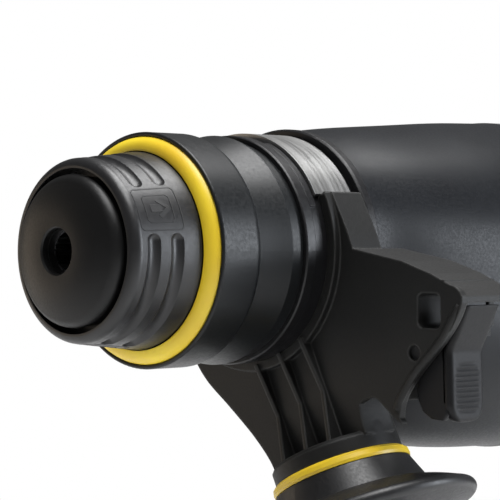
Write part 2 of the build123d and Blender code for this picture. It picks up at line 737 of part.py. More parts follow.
def strap_end(side):
    """Straight tail of the strap from its tangent point to the anchor, before the lean."""
    mid_r = (STRAP_IN + STRAP_OUT) / 2
    start_y = side * mid_r * sin(radians(TAIL_ANGLE))
    start_z = -mid_r * cos(radians(TAIL_ANGLE))
    step_y = -side * cos(radians(TAIL_ANGLE)) * TAIL_LENGTH
    step_z = -sin(radians(TAIL_ANGLE)) * TAIL_LENGTH
    middle = Pos(TAIL_X, start_y + step_y / 2, start_z + step_z / 2)
    tail = middle * (Rot(-side * (90 - TAIL_ANGLE), 0, 0) * Box(TAIL_WIDTH, STRAP_T, TAIL_LENGTH))
    foot = Pos(TAIL_X, start_y + step_y, start_z + step_z - 4) * Box(TAIL_WIDTH, STRAP_T, 10)
    return tail + foot


def clamp_strap():
    """Bare steel strap over the barrel, with both tails hooked in the bracket."""
    strap = sector(-76, -61.6, STRAP_OUT, STRAP_IN, ARM_TOP, FAR_ARM - ARM_TOP)
    near_tail = HANDLE_TILT - 90 + TAIL_ANGLE
    far_tail = HANDLE_TILT + 270 - TAIL_ANGLE
    strap += sector(-75.8, -67.2, STRAP_OUT, STRAP_IN, near_tail, ARM_TOP - near_tail)
    strap += sector(-75.8, -67.2, STRAP_OUT, STRAP_IN, FAR_ARM, far_tail - FAR_ARM)
    return strap + tilted(strap_end(1) + strap_end(-1))


def strap_anchor():
    """Block that pulls both strap tails down."""
    anchor = Pos(TAIL_X, 0, -40.5) * Box(TAIL_WIDTH, 23.2, 8)
    return tilted(anchor - Pos(HANDLE_X, 0, -40) * Cylinder(BOLT_R, 20))


def bracket_web():
    """Front web of the bracket, a funnel from the barrel down to the stem, before the lean."""
    side = [(34.2, 1.2), (34.8, -10), (34.0, -20), (31.8, -27), (28.6, -33), (25.2, -39.5),
            (22.0, -46), (19.6, -52), (18.2, -57), (18.0, -62)]
    far = Spline(*[(-y, z) for y, z in side])
    near = Spline(*side)
    foot = Line(far @ 1, near @ 1)
    top = Line(far @ 0, near @ 0)
    face = make_face(Plane.YZ * (Curve() + [far, near, foot, top]))
    return Pos(-77.5, 0, 0) * extrude(face, 77.5 + PLATE_X, dir=(1, 0, 0))


def outboard_face():
    """Outline of the bracket's front plate beside the barrel, with its notch over the stem."""
    roof = Polyline((25, -30), (25, 2.6), (33.5, 1.4), (55, -2.6), (65, -5.8), (71.4, -8.6))
    corner = ThreePointArc((71.4, -8.6), (74.6, -10.6), (75.2, -13.2))
    lip = Spline((75.2, -13.2), (69.4, -22.6), (60.2, -32.2), (55.2, -39.6), (54.6, -43.4))
    tip = Polyline((54.6, -43.4), (55.4, -45), (52.5, -43.4), (46.8, -38.8))
    notch = Spline((46.8, -38.8), (42.9, -39.1), (39.3, -41.7), (36.8, -45.4), (35.2, -49.5))
    close = Polyline((35.2, -49.5), (22, -46), (25, -30))
    return make_face(Plane.YZ * (Curve() + [roof, corner, lip, tip, notch, close]))


def bracket_roof():
    """Roof over the depth rod channel and the lever, as deep as the bracket."""
    outline = Polyline(
        (33, 1.4), (55, -2.6), (65, -5.8), (71.4, -8.6), (75.2, -11.4), (75.2, -13), (70.5, -12.6),
        (58, -7.4), (33, -3), close=True,
    )
    roof = extrude(make_face(Plane.YZ * outline), 20.5, dir=(1, 0, 0))
    return Pos(BRACKET_REAR, 0, 0) * roof


def rod_channel():
    """Square channel behind the window, with the lever's pivot lug below it."""
    y, z = WINDOW_Y, WINDOW_Z
    channel = block(BRACKET_REAR, PLATE_X, y - 6.2, y + 4.9, z - 7, z + 8)
    wall = block(BRACKET_REAR, PLATE_X, 51.5, 54.5, -39, z)
    lug = block(BRACKET_REAR, BRACKET_REAR + 3, 51.5, 63.5, PIN_Z - 4, z)
    floor = block(BRACKET_REAR, PLATE_X, 36, 58.2, z - 7, z - 4)
    inner = block(BRACKET_REAR, PLATE_X, 37, 40, -30, 0)
    return channel + wall + lug + floor + inner


def handle_bracket():
    """Moulded bracket: half ring, web with three fins, plate, roof, rod channel and stem."""
    ring = sector(-77.5, -63.8, 33.7, STRAP_IN, FAR_ARM - 360, ARM_TOP + 360 - FAR_ARM)
    stem = hung(((0, -43), (STEM_R, -43), (STEM_R, -62), (0, -62))) & block(-95, PLATE_X, -20, 20, -70, -40)
    foot = hung(((0, -60.6), (17.2, -60.6), (STEM_R, -61.6), (STEM_R, STEM_FOOT), (0, STEM_FOOT)))
    hanging = bracket_web() + stem + foot
    for offset_y in FIN_OFFSETS:
        fin = Polyline((-62.9, -30.6), (-64.9, -46), (-60.6, -61.5), (-68, -61.5), (-68, -30.6), close=True)
        hanging += Pos(0, offset_y, 0) * extrude(make_face(Plane.XZ * fin), FIN_HALF, both=True)
    bracket = ring + tilted(hanging)
    bracket += Pos(PLATE_X - PLATE_T, 0, 0) * extrude(outboard_face(), PLATE_T, dir=(1, 0, 0))
    bracket += bracket_roof() + rod_channel()
    bracket -= tube(-78, -60, STRAP_IN)
    bracket -= tube(BRACKET_REAR - 1, -77.5, 37.6)
    near_tail = HANDLE_TILT - 90 + TAIL_ANGLE - 3
    far_tail = HANDLE_TILT + 270 - TAIL_ANGLE + 3
    for start, end in ((near_tail, ARM_TOP + 1), (FAR_ARM - 1, far_tail)):
        bracket -= sector(-76.1, -66.9, STRAP_OUT + 0.15, STRAP_IN - 1, start, end - start)
    pocket = Pos(TAIL_X, 0, -40.5) * Box(9.2, 28.2, 12)
    throat = block(TAIL_X - 4.6, TAIL_X + 4.6, -28, 28, -36, -16) & tube(-77, -66, 40.5)
    throat -= block(-80, -60, -9, 9, -40, 0)
    bracket -= tilted(pocket + throat)
    bracket -= tilted(Pos(HANDLE_X, 0, -55) * Cylinder(BOLT_R + RUN, 30))
    y, z = WINDOW_Y, WINDOW_Z
    bracket -= fillet(block(-90, -60, y - 3.8, y + 3.8, z - 4.5, z + 4.5).edges().filter_by(Axis.X), 1.6)
    bracket -= Pos(0, PIN_Y, 0) * tube(-90, -60, 2.0, 0, PIN_Z)
    bracket -= block(-84.4, PLATE_X - 5.6, y + 3, y + 8, -20.5, -10.2)
    bracket -= block(-90, PLATE_X - PLATE_T, y + 3.8, y + 8, z - 8, z - 4.2)
    return bracket


def lever_pin():
    return Pos(0, PIN_Y, 0) * tube(BRACKET_REAR, PLATE_X - 1.2, 2.0, 0, PIN_Z)


def depth_lock_lever():
    """Bent thumb lever that frees the depth rod; it rocks on its pin."""
    outside = Polyline((75.0, -13.8), (69.4, -25.6), (69.9, -43.0))
    inside = Polyline((69.9, -43.0), (69.2, -44.2), (67.6, -44.2), (67.0, -43), (66.6, -26.4), (72.2, -13.8))
    top = Line((72.2, -13.8), (75.0, -13.8))
    face = make_face(Plane.YZ * (Curve() + [outside, inside, top]))
    lever = Pos(LEVER_REAR, 0, 0) * extrude(face, LEVER_FRONT - LEVER_REAR, dir=(1, 0, 0))
    arm = block(-79, -70.6, PIN_Y, 68, PIN_Z - 2.6, PIN_Z + 2.6)
    eye = Pos(0, PIN_Y, 0) * tube(-79, -70.6, 3.8, 0, PIN_Z)
    pawl = block(-80, -71.8, 69.9, 72.0, -17.6, -14.8)
    hole = Pos(0, PIN_Y, 0) * tube(-90, -60, 2 + RUN, 0, PIN_Z)
    return lever + arm + eye + pawl - hole


def lever_spring():
    """Compression spring between the bracket's inner wall and the lever."""
    body = coil(54.6, 66.7, 2.6, 0.4, 6)
    return Pos(-75, 0, -37) * (Rot(0, 0, 90) * body)


def grip_ring():
    """Bright ring at the top of the side grip."""
    ring = hung(((15, -65.5), (18.4, -65.5), (19.2, -66.2), (19.4, -67.4), (19.2, -68.2), (15, -68.2)))
    return tilted(ring)


def side_grip():
    """Side handle's grip: neck, wide guard flange and ribbed grip."""
    neck = Polyline((BOLT_R + RUN, -65.6), (14.9, -65.6), (14.9, -68.3), (19.0, -68.3), (21.8, -75.2))
    flare = Spline((21.8, -75.2), (27.0, -77.0), (32.0, -79.3))
    rim = ThreePointArc((32.0, -79.3), (33.5, -81.2), (32.0, -83.1))
    under = Spline((32.0, -83.1), (22, -87), (16.4, -94))
    grip = Spline((16.4, -94), (17.8, -118), (18.6, -150), (17.4, -186), (18.6, -200))
    end = ThreePointArc((18.6, -200), (15, -208.5), (6.2, -210))
    core = Polyline((6.2, -210), (6.2, -128), (BOLT_R + RUN, -128), (BOLT_R + RUN, -65.6))
    face = make_face(Plane.XZ * (Curve() + [neck, flare, rim, under, grip, end, core]))
    return tilted(Pos(HANDLE_X, 0, 0) * revolve(face, Axis.Z))


def grip_bolt():
    """Bolt from the strap anchor into the side grip."""
    return tilted(Pos(HANDLE_X, 0, -83) * Cylinder(BOLT_R, 86))


def write_parts():
    """Build every piece and write one STEP file for each."""
    body, cuts = handle_body(), handle_openings() + handle_screw_shapes(RUN)
    pieces = {
        "nose_cap": nose_cap(),
        "lock_sleeve": lock_sleeve(),
        "accent_ring": accent_ring(),
        "chuck_collar": chuck_collar(),
        "tool_holder": tool_holder(),
        "locking_balls": locking_balls(),
        "sleeve_spring": sleeve_spring(),
        "spindle_rings": spindle_rings(),
        "bearing_cover": bearing_cover(),
        "barrel": barrel(),
        "front_seal": front_seal(),
        "spindle_bearings": spindle_bearings(),
        "spindle_tube": spindle_tube(),
        "beat_piece": beat_piece(),
        "striker": striker(),
        "piston": piston(),
        "piston_pin": piston_pin(),
        "wobble_ring": wobble_ring(),
        "wobble_drum": wobble_drum(),
        "intermediate_shaft": intermediate_shaft(),
        "intermediate_gear": intermediate_gear(),
        "intermediate_bearings": intermediate_bearings(),
        "spindle_gear": spindle_gear(),
        "clutch_ring": clutch_ring(),
        "clutch_spring": clutch_spring(),
        "gear_case": gear_case(),
        "bearing_plate": bearing_plate(),
        "motor_plate": motor_plate(),
        "case_screws": Compound(children=[*barrel_screw_shapes(), *case_screw_shapes()]),
        "mode_knob": mode_knob(),
        "rotor_shaft": rotor_shaft(),
        "rotor_bearings": Compound(children=[rotor_front_bearing(), rotor_rear_bearing()]),
        "cooling_fan": cooling_fan(),
        "fan_baffle": fan_baffle(),
        "rotor_core": rotor_core(),
        "commutator": commutator(),
        "stator": stator(),
        "brush_plate": brush_plate(),
        "brush_holders": brush_holders(),
        "carbon_brushes": carbon_brushes(),
        "motor_housing": motor_housing(),
        "left_handle_shell": left_handle_shell(body, cuts),
        "right_handle_shell": right_handle_shell(body, cuts),
        "handle_screws": handle_screw_shapes(),
        "grip_rubber": grip_rubber_band(),
        "switch_body": switch_body(),
        "trigger": trigger(),
        "trigger_pin": trigger_pin(),
        "lock_on_button": lock_on_button(),
        "direction_slide": direction_slide(),
        "cord_gland": cord_gland(),
        "clamp_strap": clamp_strap(),
        "strap_anchor": strap_anchor(),
        "handle_bracket": handle_bracket(),
        "depth_lock_lever": depth_lock_lever(),
        "lever_pin": lever_pin(),
        "lever_spring": lever_spring(),
        "grip_ring": grip_ring(),
        "side_grip": side_grip(),
        "grip_bolt": grip_bolt(),
    }
    for name, piece in pieces.items():
        piece.label = name
        export_step(piece, f"parts/{name}.step")
    print(len(pieces), "pieces")


write_parts()
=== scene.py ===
"""Looks of the demolition hammer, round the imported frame. Metres, but millimetres where a comment says so."""
import math

import bmesh
import bpy
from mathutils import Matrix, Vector


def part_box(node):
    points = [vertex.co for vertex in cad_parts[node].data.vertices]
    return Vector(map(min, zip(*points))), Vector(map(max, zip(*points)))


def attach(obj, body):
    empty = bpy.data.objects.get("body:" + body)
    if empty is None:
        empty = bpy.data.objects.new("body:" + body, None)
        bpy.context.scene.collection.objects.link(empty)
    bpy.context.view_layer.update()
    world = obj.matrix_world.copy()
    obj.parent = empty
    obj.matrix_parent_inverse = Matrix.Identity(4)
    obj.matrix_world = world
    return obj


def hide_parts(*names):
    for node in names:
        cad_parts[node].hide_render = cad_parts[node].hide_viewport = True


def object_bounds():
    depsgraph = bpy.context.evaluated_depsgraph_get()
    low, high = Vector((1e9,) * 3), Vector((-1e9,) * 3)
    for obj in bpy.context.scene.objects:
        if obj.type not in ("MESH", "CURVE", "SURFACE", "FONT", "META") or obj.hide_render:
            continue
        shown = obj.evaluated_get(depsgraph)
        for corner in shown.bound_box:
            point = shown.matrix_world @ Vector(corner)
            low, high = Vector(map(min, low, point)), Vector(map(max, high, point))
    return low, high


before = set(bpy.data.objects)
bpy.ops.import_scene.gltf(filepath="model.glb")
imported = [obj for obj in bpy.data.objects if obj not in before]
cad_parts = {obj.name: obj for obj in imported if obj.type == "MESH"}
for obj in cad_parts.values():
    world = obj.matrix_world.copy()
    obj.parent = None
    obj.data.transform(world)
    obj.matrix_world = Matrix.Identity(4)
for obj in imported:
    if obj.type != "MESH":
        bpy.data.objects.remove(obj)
cad_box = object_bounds()

MM = 0.001
CAMERA_AT = Vector((0.32762, 0.39487, 0.00323))
VIEW_AZIMUTH = math.radians(135.13)   # the camera looks back along the tool from its front left
VIEW_ELEVATION = math.radians(0.33)
LENS = 144.0
SENSOR = 36.0
WHITE = (1.0, 1.0, 1.0, 1.0)
WORLD_LIGHT = 0.12
EDGE_HIGHLIGHT = 5.0         # how much paler than its surface an edge is made by the painted highlight

PAD_ANGLES = (26.0, 146.0, 266.0)     # smooth pads of the lock sleeve, degrees from +Y to +Z
SLEEVE_FRONT_R, SLEEVE_REAR_R = 24.0, 26.1   # lock sleeve's taper, millimetres
SLEEVE_TAPER_X, SLEEVE_TAPER = -4.0, 18.4    # where the taper starts, and its length
MARK_X = (-4.4, -17.4)                # front and rear of the sleeve's marking
MARK_HALF = 13.5                      # half its spread, degrees
MARK_LIFT = 0.05 * MM
MARK_LINE = 0.22                      # half width of its lines, millimetres
MARK_INSET = (2.4, 4.8)               # inner frame's inset along x in millimetres, and in degrees
MARK_CORNER = 0.8                     # how far each corner is cut, millimetres along x
ARROW_STEM = (-4.0, 5.6)              # ends of the arrow's stem, from the front and rear, millimetres
ARROW_HEAD = (3.4, 6.6, 5.6)          # head's tip and barbs from the rear, and half its spread in degrees
ARROW_STEM_LINE, ARROW_HEAD_LINE = 1.3, 0.75   # half widths, millimetres
PLATE_X = -66.0                       # front face of the side handle's bracket, millimetres

# The thumb lever, in millimetres. Pairs for its top, bend and foot are (y, z) on its outer face.
LEVER_X = (-82.2, -68.6)
LEVER_TOP, LEVER_BEND, LEVER_FOOT = (75.0, -13.8), (69.4, -25.6), (69.9, -43.0)
LEVER_THICK = 2.6
LEVER_CORNER = 5.0                    # radius of the foot's corners
LEVER_ROUND = 1.3                     # radius of the outer edge
LEVER_THINNEST = 0.4
LEVER_GAP = 0.05                      # keeps neighbouring points of the skin apart
LEVER_BEND_SHARPNESS = 1.4
LEVER_ROWS, LEVER_COLUMNS = 110, 28
LEVER_PAD = (-28.4, -42.2)            # top and bottom of the ribbed pad
LEVER_PAD_SHARE = 0.36                # half the pad's width as a share of the lever's
LEVER_PAD_CORNER = 3.4
LEVER_PAD_SINK, LEVER_PAD_FADE = 0.35, 0.9
LEVER_RIB_PITCH, LEVER_RIB_HEIGHT = 1.35, 0.62
LEVER_ARM = ((-79.0, 56.4, -28.9), (-70.6, 68.0, -23.7))
LEVER_ARM_BEVEL = 1.2
CHEEK_THICK = 2.2
CHEEK_BEVEL = 0.5
CHEEK_OUTLINE = (
    (71.0, -19.5), (67.6, -26.0), (68.3, -42.0), (66.8, -43.6), (63.0, -43.4), (60.0, -41.6),
    (58.4, -38.6), (58.2, -34.0), (60.0, -29.5), (64.0, -24.5), (68.0, -19.5),
)

LIP_EDGE = ((73.9, -13.4), (68.3, -22.5), (59.3, -31.8), (54.3, -39.0), (53.6, -42.2))   # (y, z), millimetres
LIP_RADIUS = 1.15
LIP_SIDES = 12
LIP_FLATTEN = 0.85                    # its thickness along x as a share of its height


# ---------------------------------------------------------------- materials
def new_material(name):
    """Empty node material with its shader; returns material, nodes, links and shader."""
    material = bpy.data.materials.new(name)
    material.use_nodes = True
    nodes, links = material.node_tree.nodes, material.node_tree.links
    return material, nodes, links, nodes["Principled BSDF"]


def noise(nodes, links, source, scale, detail=3.0, roughness=0.5):
    """Noise texture over a coordinate; returns its value."""
    node = nodes.new("ShaderNodeTexNoise")
    node.inputs["Scale"].default_value = scale
    node.inputs["Detail"].default_value = detail
    node.inputs["Roughness"].default_value = roughness
    links.new(source, node.inputs["Vector"])
    return node.outputs["Fac"]


def ramp(nodes, links, value, low, high, low_colour, high_colour):
    """Two-colour ramp of a value between low and high; returns its colour."""
    node = nodes.new("ShaderNodeValToRGB")
    first, last = node.color_ramp.elements
    first.position, last.position = low, high
    first.color, last.color = low_colour, high_colour
    links.new(value, node.inputs["Fac"])
    return node.outputs["Color"]


def shade(colour, factor):
    """Opaque colour made lighter or darker by a factor."""
    return (*(min(1.0, channel * factor) for channel in colour), 1.0)


def grey(value):
    """Opaque grey, also used for a plain value in a ramp."""
    return (value, value, value, 1.0)


def moulded(name, colour, rough, grain, depth, edge_highlight, coat=0.0, soften=0.0, gloss=0.5):
    """Moulded or painted surface: fine grain, slow colour drift and edges paled by a painted highlight.

    The argument after depth sets how strongly the painted highlight pales the edges, and soften is the radius
    that the shading rounds them by.
    """
    material, nodes, links, shader = new_material(name)
    place = nodes.new("ShaderNodeTexCoord").outputs["Object"]
    drift = noise(nodes, links, place, 38.0, 4.0)
    base = ramp(nodes, links, drift, 0.3, 0.7, shade(colour, 0.82), shade(colour, 1.18))
    rounded = nodes.new("ShaderNodeBevel")
    rounded.samples = 4
    rounded.inputs["Radius"].default_value = max(soften, 0.2 * MM)
    # Painted highlight: near edges, where the rounded normal turns from the true one, the colour is mixed
    # towards a paler copy of itself, standing in for light the edges catch.
    flat = nodes.new("ShaderNodeNewGeometry")
    turn = nodes.new("ShaderNodeVectorMath")
    turn.operation = "DOT_PRODUCT"
    links.new(rounded.outputs["Normal"], turn.inputs[0])
    links.new(flat.outputs["Normal"], turn.inputs[1])
    edge_highlight_mask = ramp(nodes, links, turn.outputs["Value"], 0.80, 0.995, grey(edge_highlight), grey(0.0))
    mix = nodes.new("ShaderNodeMix")
    mix.data_type = "RGBA"
    links.new(edge_highlight_mask, mix.inputs["Factor"])
    links.new(base, mix.inputs["A"])
    mix.inputs["B"].default_value = shade(colour, EDGE_HIGHLIGHT)
    links.new(mix.outputs["Result"], shader.inputs["Base Color"])
    speckle = noise(nodes, links, place, grain, 2.0)
    rough_map = ramp(nodes, links, speckle, 0.3, 0.7, grey(rough - 0.05), grey(rough + 0.07))
    links.new(rough_map, shader.inputs["Roughness"])
    bump = nodes.new("ShaderNodeBump")
    bump.inputs["Strength"].default_value = depth
    bump.inputs["Distance"].default_value = 0.06 * MM
    links.new(speckle, bump.inputs["Height"])
    if soften:
        links.new(rounded.outputs["Normal"], bump.inputs["Normal"])
    links.new(bump.outputs["Normal"], shader.inputs["Normal"])
    shader.inputs["Coat Weight"].default_value = coat
    shader.inputs["Coat Roughness"].default_value = 0.25
    shader.inputs["Specular IOR Level"].default_value = gloss
    return material


def brushed(name, colour, rough, along=(6.0, 900.0, 900.0), depth=0.15):
    """Metal with fine lines along one direction and slow tarnish."""
    material, nodes, links, shader = new_material(name)
    place = nodes.new("ShaderNodeTexCoord").outputs["Object"]
    stretch = nodes.new("ShaderNodeMapping")
    stretch.inputs["Scale"].default_value = along
    links.new(place, stretch.inputs["Vector"])
    lines = noise(nodes, links, stretch.outputs["Vector"], 1.0, 3.0)
    tarnish = noise(nodes, links, place, 60.0, 5.0, 0.6)
    base = ramp(nodes, links, tarnish, 0.3, 0.72, shade(colour, 0.78), shade(colour, 1.08))
    links.new(base, shader.inputs["Base Color"])
    rough_map = ramp(nodes, links, lines, 0.3, 0.7, grey(rough - 0.06), grey(rough + 0.1))
    links.new(rough_map, shader.inputs["Roughness"])
    bump = nodes.new("ShaderNodeBump")
    bump.inputs["Strength"].default_value = depth
    bump.inputs["Distance"].default_value = 0.03 * MM
    links.new(lines, bump.inputs["Height"])
    links.new(bump.outputs["Normal"], shader.inputs["Normal"])
    shader.inputs["Metallic"].default_value = 1.0
    return material


def laminated():
    """Stacked sheets, lined across the tool axis."""
    return brushed("laminated_steel", (0.30, 0.30, 0.31), 0.45, (1500.0, 30.0, 30.0), 0.5)


MATERIALS = {
    "housing": moulded(
        "housing_plastic", (0.008, 0.009, 0.011), 0.38, 1400.0, 0.16, 0.15, soften=0.5 * MM, gloss=0.22),
    "bracket": moulded(
        "bracket_plastic", (0.011, 0.011, 0.0107), 0.48, 1500.0, 0.45, 0.8, soften=0.9 * MM, gloss=0.28),
    "lever": moulded(
        "lever_plastic", (0.006, 0.006, 0.0068), 0.48, 1500.0, 0.30, 0.12, soften=0.8 * MM, gloss=0.25),
    "sleeve": moulded("sleeve_plastic", (0.013, 0.013, 0.014), 0.36, 1200.0, 0.22, 0.25, soften=0.3 * MM),
    "collar": moulded(
        "collar_plastic", (0.008, 0.009, 0.010), 0.38, 1200.0, 0.20, 0.4, soften=0.4 * MM, gloss=0.32),
    "barrel": moulded(
        "barrel_coating", (0.008, 0.008, 0.009), 0.36, 800.0, 0.35, 0.6, soften=0.4 * MM, gloss=0.4),
    "yellow": moulded("yellow_plastic", (1.0, 0.66, 0.03), 0.38, 1000.0, 0.08, 0.0, coat=0.1),
    "cap_rubber": moulded("cap_rubber", (0.006, 0.006, 0.0062), 0.40, 1600.0, 0.30, 0.15, gloss=0.3),
    "soft_rubber": moulded("soft_rubber", (0.010, 0.010, 0.011), 0.62, 1800.0, 0.60, 0.20),
    "grip": moulded("grip_plastic", (0.012, 0.012, 0.013), 0.40, 1300.0, 0.35, 0.30),
    "carbon": moulded("carbon_block", (0.012, 0.012, 0.013), 0.7, 2000.0, 0.5, 0.1),
    "dark_nylon": moulded("dark_nylon", (0.02, 0.02, 0.022), 0.5, 1500.0, 0.3, 0.2),
    "mark": moulded("mark_ink", (0.006, 0.006, 0.007), 0.55, 2000.0, 0.2, 0.0),
    "strap": brushed("strap_steel", (0.46, 0.46, 0.455), 0.34, (700.0, 40.0, 40.0), 0.12),
    "steel": brushed("ground_steel", (0.55, 0.55, 0.56), 0.28),
    "oiled_steel": brushed("oiled_steel", (0.33, 0.33, 0.34), 0.24),
    "alloy": brushed("cast_alloy", (0.30, 0.31, 0.32), 0.42, (300.0, 300.0, 300.0), 0.3),
    "copper": brushed("copper_segments", (0.78, 0.42, 0.24), 0.26),
    "brass": brushed("pressed_brass", (0.80, 0.62, 0.28), 0.3),
    "laminations": laminated(),
}

FINISHES = {
    "housing": ("gear_case", "motor_housing", "left_handle_shell", "right_handle_shell"),
    "bracket": ("handle_bracket",),
    "lever": ("depth_lock_lever",),
    "sleeve": ("lock_sleeve",),
    "collar": ("chuck_collar", "bearing_cover"),
    "barrel": ("barrel",),
    "yellow": ("accent_ring", "grip_ring"),
    "cap_rubber": ("nose_cap",),
    "soft_rubber": ("grip_rubber", "cord_gland", "front_seal"),
    "grip": ("side_grip", "trigger", "mode_knob", "lock_on_button", "direction_slide"),
    "carbon": ("carbon_brushes", "lever_pin"),
    "dark_nylon": ("cooling_fan", "fan_baffle", "brush_plate", "switch_body"),
    "strap": ("clamp_strap", "strap_anchor"),
    "steel": (
        "case_screws", "handle_screws", "spindle_bearings", "intermediate_bearings", "rotor_bearings",
        "locking_balls", "sleeve_spring", "clutch_spring", "lever_spring", "trigger_pin",
        "spindle_rings", "grip_bolt",
    ),
    "oiled_steel": (
        "tool_holder", "spindle_tube", "spindle_gear", "clutch_ring", "beat_piece", "striker", "piston",
        "piston_pin", "wobble_ring", "wobble_drum", "intermediate_shaft", "intermediate_gear", "rotor_shaft",
    ),
    "alloy": ("bearing_plate", "motor_plate"),
    "copper": ("commutator",),
    "brass": ("brush_holders",),
    "laminations": ("rotor_core", "stator"),
}


def dress_cad_nodes():
    """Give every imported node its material."""
    for finish, names in FINISHES.items():
        for name in names:
            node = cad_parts[name]
            slots = node.material_slots
            if not slots:
                node.data.materials.append(MATERIALS[finish])
                continue
            for material_slot in slots:
                material_slot.material = MATERIALS[finish]


# ---------------------------------------------------------------- mesh helpers
def add_piece(name, bm, finish, body, smooth=True):
    """Turn a bmesh into a piece that rides on a body."""
    mesh = bpy.data.meshes.new(name)
    bmesh.ops.recalc_face_normals(bm, faces=bm.faces)
    bm.to_mesh(mesh)
    bm.free()
    for face in mesh.polygons:
        face.use_smooth = smooth
    piece = bpy.data.objects.new(name, mesh)
    bpy.context.scene.collection.objects.link(piece)
    mesh.materials.append(MATERIALS[finish])
    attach(piece, body)
    return piece


def bend_strip(bm, path, width_axis, half_width, height, out_of):
    """Raised strip with a flat top that follows a list of points on a surface."""
    rows = []
    for index, point in enumerate(path):
        side = width_axis(index) * half_width
        out = out_of(index)
        sunk = point - out * (0.3 * MM)
        top = point + out * height
        corners = (sunk - side, top - side * 0.75, top + side * 0.75, sunk + side)
        rows.append([bm.verts.new(corner) for corner in corners])
    for first, second in zip(rows, rows[1:]):
        for a in range(3):
            bm.faces.new((first[a], first[a + 1], second[a + 1], second[a]))
        bm.faces.new((first[3], first[0], second[0], second[3]))
    bm.faces.new(rows[0])
    bm.faces.new(reversed(rows[-1]))


# ---------------------------------------------------------------- lock sleeve marking
def sleeve_point(x, angle):
    """Point on the lock sleeve's taper, from x in millimetres and an angle from +Y to +Z."""
    radius = SLEEVE_FRONT_R + (SLEEVE_REAR_R - SLEEVE_FRONT_R) * (SLEEVE_TAPER_X - x) / SLEEVE_TAPER
    turn = math.radians(angle)
    return Vector((x, radius * math.cos(turn), radius * math.sin(turn))) * MM


def sleeve_out(angle):
    """Direction straight out of the sleeve at an angle from +Y to +Z."""
    turn = math.radians(angle)
    return Vector((0.0, math.cos(turn), math.sin(turn)))


def sleeve_line(bm, start, end, half_width):
    """Thin raised line on the sleeve between two (x, angle) points."""
    steps = 1 + round(abs(end[1] - start[1]) / 2.0)
    spots = []
    for index in range(steps + 1):
        share = index / steps
        spots.append((start[0] + (end[0] - start[0]) * share, start[1] + (end[1] - start[1]) * share))
    path = [sleeve_point(*spot) for spot in spots]
    along = (path[1] - path[0]).normalized()
    sides = [along.cross(sleeve_out(spot[1])).normalized() for spot in spots]
    bend_strip(bm, path, lambda i: sides[i], half_width * MM, MARK_LIFT, lambda i: sleeve_out(spots[i][1]))


def mark_frame(bm, x0, x1, a0, a1):
    """Frame with cut corners between two x in millimetres and two angles."""
    cut = MARK_CORNER
    for a in (a0, a1):
        sleeve_line(bm, (x0 - cut, a), (x1 + cut, a), MARK_LINE)
    for x in (x1, x0):
        sleeve_line(bm, (x, a0 + cut * 2), (x, a1 - cut * 2), MARK_LINE)
    for x, a, dx, da in ((x0, a0, -1, 1), (x0, a1, -1, -1), (x1, a0, 1, 1), (x1, a1, 1, -1)):
        sleeve_line(bm, (x, a + da * cut * 2), (x + dx * cut, a), MARK_LINE)


def mark_arrow(bm, pad):
    """Arrow that points to the rear, along the middle of a pad."""
    front, rear = MARK_X
    tip, barb, spread = ARROW_HEAD
    sleeve_line(bm, (front + ARROW_STEM[0], pad), (rear + ARROW_STEM[1], pad), ARROW_STEM_LINE)
    for side in (-1, 1):
        sleeve_line(bm, (rear + tip, pad), (rear + barb, pad + side * spread), ARROW_HEAD_LINE)


def sleeve_marks():
    """Double frame with a pull-back arrow on each smooth pad of the lock sleeve."""
    front, rear = MARK_X
    inset_x, inset_angle = MARK_INSET
    for number, pad in enumerate(PAD_ANGLES):
        bm = bmesh.new()
        low, high = pad - MARK_HALF, pad + MARK_HALF
        mark_frame(bm, front, rear, low, high)
        mark_frame(bm, front - inset_x, rear + inset_x, low + inset_angle, high - inset_angle)
        mark_arrow(bm, pad)
        add_piece(f"sleeve_mark_{number}", bm, "mark", "lock_sleeve", smooth=False)


# ---------------------------------------------------------------- depth rod lever
def lever_face_y(z):
    """Outer face of the lever at height z: slanted above its bend, upright below it."""
    top_y, top_z = LEVER_TOP
    bend_y, bend_z = LEVER_BEND
    foot_y, foot_z = LEVER_FOOT
    upper = bend_y + (top_y - bend_y) * (z - bend_z) / (top_z - bend_z)
    lower = bend_y + (foot_y - bend_y) * (z - bend_z) / (foot_z - bend_z)
    blend = 1 / (1 + math.exp(-(z - bend_z) * LEVER_BEND_SHARPNESS))
    return lower + (upper - lower) * blend


def lever_width(z, foot_z):
    """Half the lever's width at height z, narrower at the rounded corners of its foot."""
    half = (LEVER_X[1] - LEVER_X[0]) / 2
    drop = max(0.0, (foot_z + LEVER_CORNER) - z) / LEVER_CORNER
    width = half - LEVER_CORNER * (1 - math.sqrt(max(0.0, 1 - drop * drop)))
    return max(width, half - LEVER_CORNER + LEVER_GAP)


def lever_roll(from_edge):
    """How far the outer face drops at a distance from the lever's edge."""
    share = 1 - min(1.0, max(0.0, from_edge) / LEVER_ROUND)
    return LEVER_ROUND * (1 - math.sqrt(max(0.0, 1 - share ** 2)))


def lever_row(bm, z, foot_z):
    """Front and back points of the lever at height z."""
    middle_x = (LEVER_X[0] + LEVER_X[1]) / 2
    half = (LEVER_X[1] - LEVER_X[0]) / 2
    width = lever_width(z, foot_z)
    front, back = [], []
    for column in range(LEVER_COLUMNS + 1):
        x = middle_x + (2 * column / LEVER_COLUMNS - 1) * width
        edge = min(half - abs(x - middle_x) - (half - width), z - foot_z + LEVER_GAP)
        y = lever_face_y(z) - lever_roll(edge) + lever_rib(x - middle_x, z)
        back_y = min(lever_face_y(z) - LEVER_THICK, y - LEVER_THINNEST)
        front.append(bm.verts.new(Vector((x, y, z)) * MM))
        back.append(bm.verts.new(Vector((x, back_y, z)) * MM))
    return front, back


